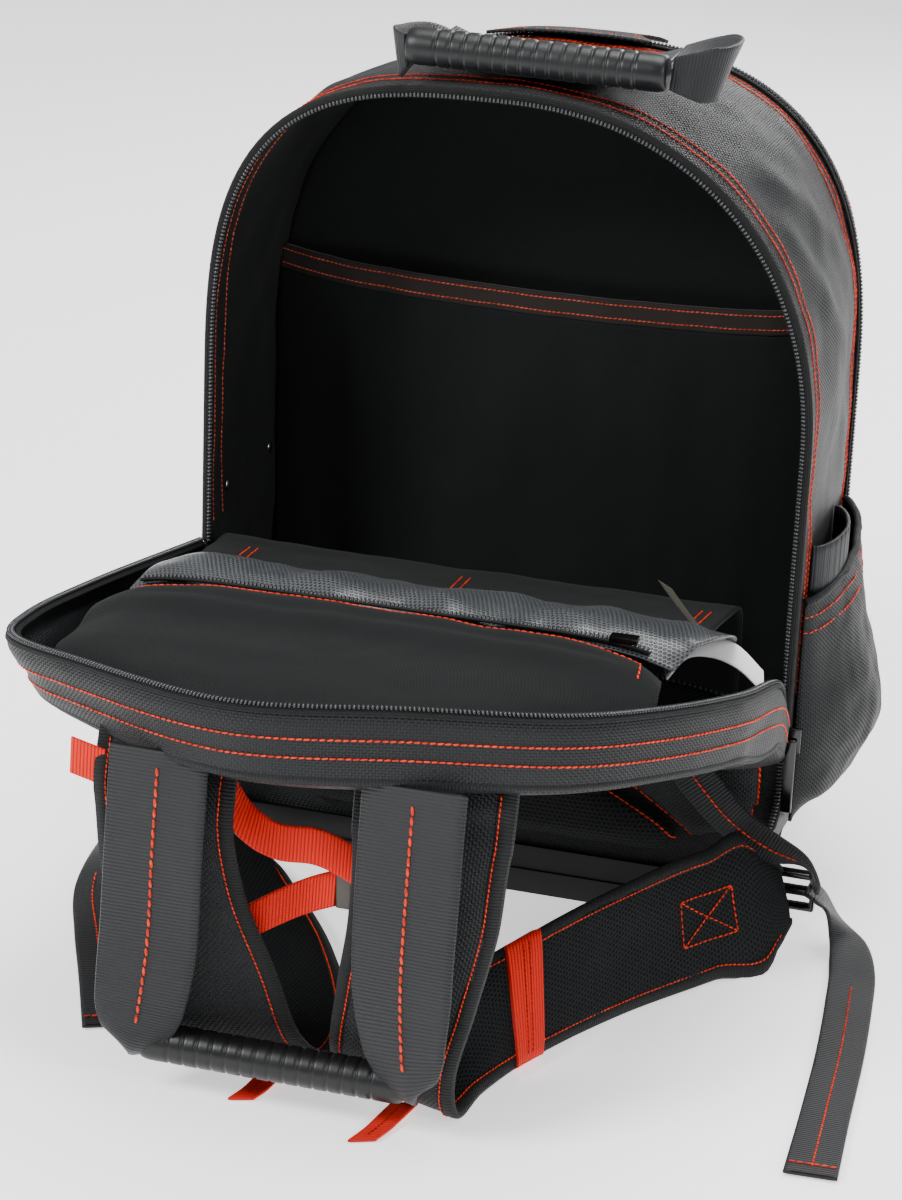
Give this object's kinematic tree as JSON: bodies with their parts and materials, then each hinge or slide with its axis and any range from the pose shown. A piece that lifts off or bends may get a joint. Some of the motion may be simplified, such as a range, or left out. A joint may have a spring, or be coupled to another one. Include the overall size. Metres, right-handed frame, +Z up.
{
  "type": "tool backpack",
  "caption": "Black tool backpack standing on its moulded base, its back panel unzipped and folded down over its straps, with orange stitching and red webbing",
  "frame": {"origin": "on the ground, under the middle of the whole bounding box", "axes": "+Z up; +Y from the opened back towards the front pocket; +X towards the side pocket"},
  "size_m": [0.4934, 0.5384, 0.5227],
  "materials": {
    "shell": "coarse ballistic weave, matte",
    "lining": "fine plain weave, matte",
    "webbing": "ribbed woven webbing",
    "mesh": "open spacer mesh, matte",
    "net": "shiny knitted net",
    "binding": "woven binding tape",
    "rubber": "ribbed, matte",
    "moulded": "fine-grained moulding",
    "plastic": "smooth",
    "coil": "zip teeth on woven tape",
    "red": "woven webbing",
    "grey": "smooth",
    "metal": "domed and polished",
    "label": "smooth woven label",
    "ribbon": "woven ribbon"
  },
  "bodies": {
    "root": {"body_wall": "shell", "front_case": "shell", "base_tray": "moulded", "divider": "lining", "tablet_pocket": "lining", "pocket_hem": "binding", "rim_zip": "coil", "closed_zip_right": "coil", "closed_zip_left": "coil", "front_zip": "coil", "rivet_upper": "metal", "rivet_lower": "metal", "side_pocket": "shell", "side_loop_upper": "webbing", "side_loop_lower": "webbing", "lower_back": "lining", "panel_shell": "shell", "lumbar_pad": "mesh", "corner_wing_right": "shell", "corner_wing_left": "shell", "panel_zip": "coil", "panel_pocket": "lining", "pocket_zip": "coil", "pocket_slider": "plastic", "mesh_pocket": "net", "inner_flap": "lining", "care_label": "label", "pull_ribbon": "ribbon", "rim_slider": "plastic", "rim_puller": "plastic", "top_grip": "rubber", "top_web": "webbing", "top_web_left": "webbing", "top_web_right": "webbing", "top_flap": "shell", "top_slider_left": "plastic", "top_slider_right": "plastic", "shoulder_strap_left": "shell", "shoulder_strap_right": "shell", "lower_grip": "rubber", "handle_web_left": "webbing", "handle_web_right": "webbing", "strap_band": "red", "chest_clip": "grey", "chest_strap_upper": "red", "chest_strap_lower": "red", "red_tab_side": "red", "red_tab_left": "red", "red_tab_right": "red", "ladder_lock_right": "plastic", "ladder_lock_left": "plastic", "lower_web_right": "webbing", "lower_web_left": "webbing", "tail_right": "webbing", "tail_left": "webbing"}
  },
  "joints": []
}
